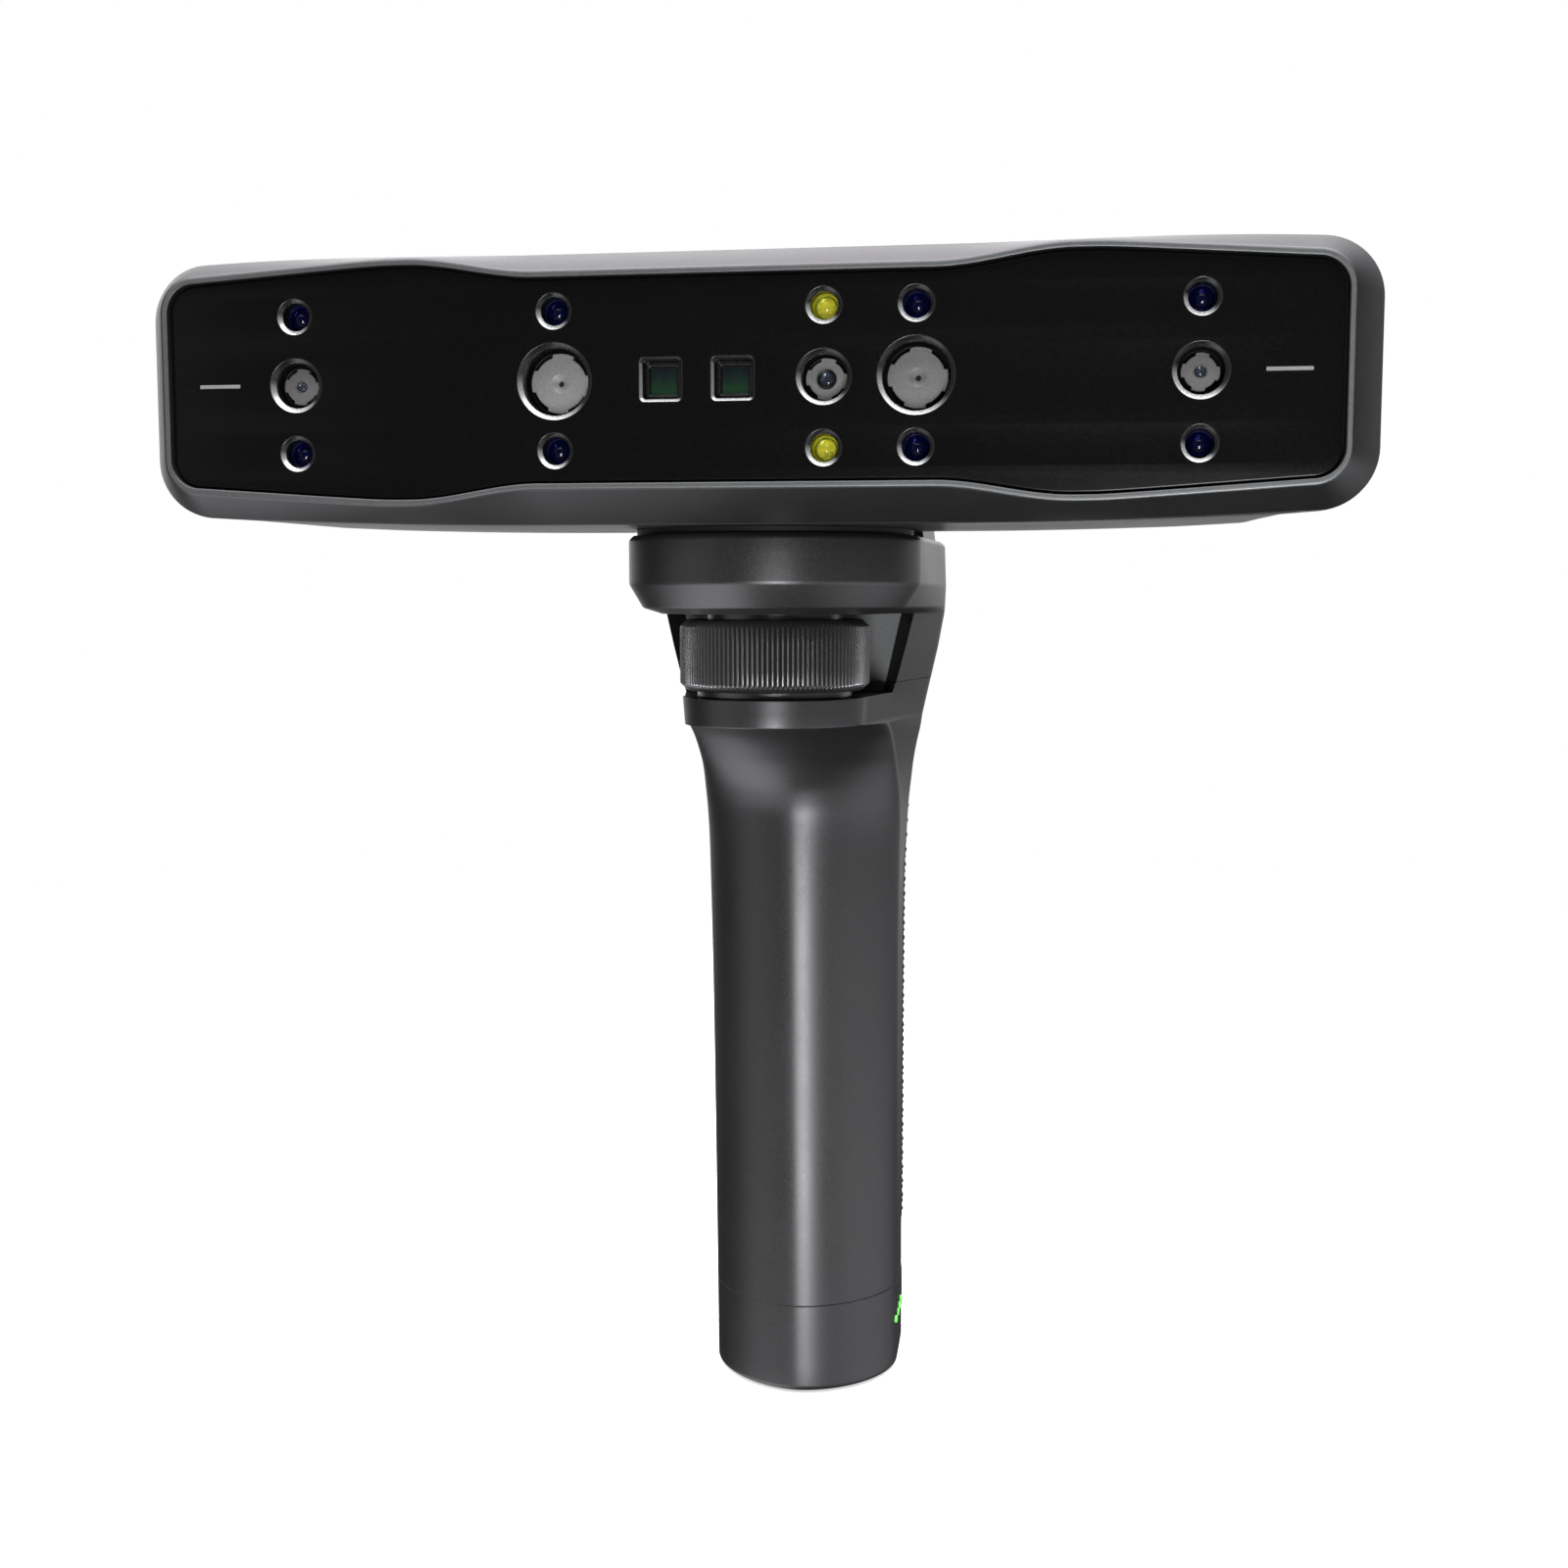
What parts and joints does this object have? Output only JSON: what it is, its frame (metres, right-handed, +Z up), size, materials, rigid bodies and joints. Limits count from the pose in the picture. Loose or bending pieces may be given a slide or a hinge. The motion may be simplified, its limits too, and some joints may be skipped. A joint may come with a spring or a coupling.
{
  "type": "handheld 3d scanner",
  "caption": "Handheld optical scanner with a wide multi-camera sensor head, a knurled clamp wheel and a grip holding a slide-out battery pack.",
  "frame": {"origin": "centre of the flat underside of the battery cap, at the lower end of the grip", "axes": "+Z up along the grip towards the sensor head, the optics look along -Y, +X to the right when seen from in front of the optics looking along +Y"},
  "size_m": [0.2078, 0.1201, 0.2264],
  "materials": {
    "housing": "fine-grained satin graphite coating on die-cast light alloy",
    "panel_black": "satin black acrylic front plate",
    "rubber_black": "matt black elastomer",
    "mark_ink": "grey inlay",
    "bench_metal": "machined",
    "steel": "plain zinc plated",
    "barrel": "black anodised",
    "lens_ring": "bead-blasted grey anodised",
    "lens_glass": "coated optical glass",
    "blue_lamp": "deep blue moulded lens",
    "yellow_lamp": "clear dome over yellow phosphor",
    "board": "solder-masked circuit board",
    "brass": "plain",
    "window_glass": "coated filter glass",
    "dark_plastic": "moulded black plastic",
    "key_plastic": "soft-touch keys",
    "gold": "gold plated contacts",
    "wire": "silicone insulated wire",
    "wheel": "knurled, satin graphite anodised",
    "grip_rubber": "dotted black elastomer",
    "cell_wrap": "steel can in blue shrink wrap",
    "led_green": "lit green light pipe"
  },
  "bodies": {
    "handle": {"upper_housing": "housing", "neck_gasket": "rubber_black", "contact_block": "dark_plastic", "spring_contacts": "gold", "locating_pins": "steel", "housing_screws": "steel", "screw_plugs": "rubber_black", "wire_harness": "wire", "grip_shell": "housing", "rear_grip_pad": "grip_rubber", "bay_contacts": "gold", "retaining_clip": "steel"},
    "head": {"front_frame": "housing", "rear_shell": "housing", "front_panel": "panel_black", "panel_gasket": "rubber_black", "index_marks": "mark_ink", "optical_bench": "bench_metal", "bench_screws": "steel", "outer_lens_barrels": "barrel", "outer_lens_rings": "lens_ring", "outer_lens_glass": "lens_glass", "inner_lens_barrels": "barrel", "inner_lens_rings": "lens_ring", "inner_lens_glass": "lens_glass", "color_lens_barrel": "barrel", "color_lens_ring": "lens_ring", "color_lens_glass": "lens_glass", "blue_led_domes": "blue_lamp", "yellow_led_domes": "yellow_lamp", "led_boards": "board", "laser_modules": "brass", "laser_window_frames": "dark_plastic", "laser_window_glass": "window_glass", "camera_boards": "board", "main_board": "board", "heat_sink": "bench_metal", "fan_frame": "dark_plastic", "control_panel": "panel_black", "button_board": "board", "usb_socket": "steel", "thread_insert": "brass", "contact_pads": "gold", "shell_screws": "steel"},
    "thumbwheel": {"thumb_wheel": "wheel", "clamp_screw": "steel"},
    "battery_pack": {"battery_cap": "housing", "battery_case": "dark_plastic", "battery_cells": "cell_wrap", "battery_board": "board", "charge_lights": "led_green"},
    "latch": {"battery_latch": "dark_plastic"},
    "fan": {"fan_rotor": "dark_plastic"},
    "scan_key": {"scan_button": "key_plastic"},
    "plus_key": {"plus_button": "key_plastic"},
    "minus_key": {"minus_button": "key_plastic"},
    "port_flap": {"port_cover": "rubber_black"}
  },
  "joints": [
    {"name": "thumbwheel_turn", "type": "hinge", "parent": "handle", "child": "thumbwheel", "pos_m": [0, -0.05015, 0.1569], "axis": [0, 0, -1], "range_deg": [0, 1800]},
    {"name": "head_release", "type": "slide", "parent": "handle", "child": "head", "axis": [0, 0, 1], "range_m": [0, 0.00635]},
    {"name": "battery_slide", "type": "slide", "parent": "handle", "child": "battery_pack", "axis": [0, 0.0509, -0.9987], "range_m": [0, 0.082]},
    {"name": "latch_press", "type": "slide", "parent": "battery_pack", "child": "latch", "axis": [0, -1, 0], "range_m": [0, 0.0012]},
    {"name": "scan_press", "type": "slide", "parent": "head", "child": "scan_key", "axis": [0, -1, 0], "range_m": [0, 0.0008]},
    {"name": "plus_press", "type": "slide", "parent": "head", "child": "plus_key", "axis": [0, -1, 0], "range_m": [0, 0.0008]},
    {"name": "minus_press", "type": "slide", "parent": "head", "child": "minus_key", "axis": [0, -1, 0], "range_m": [0, 0.0008]},
    {"name": "port_cover_hinge", "type": "hinge", "parent": "head", "child": "port_flap", "pos_m": [0.0564, -0.03375, 0.2063], "axis": [0, 0, 1], "range_deg": [0, 105]},
    {"name": "fan_spin", "type": "hinge", "parent": "head", "child": "fan", "pos_m": [-0.043, -0.04615, 0.2063], "axis": [0, 1, 0], "continuous": true}
  ],
  "couplings": [
    {"joint": "thumbwheel_turn", "follows": "head_release", "rad_per_m": 4947.4}
  ]
}
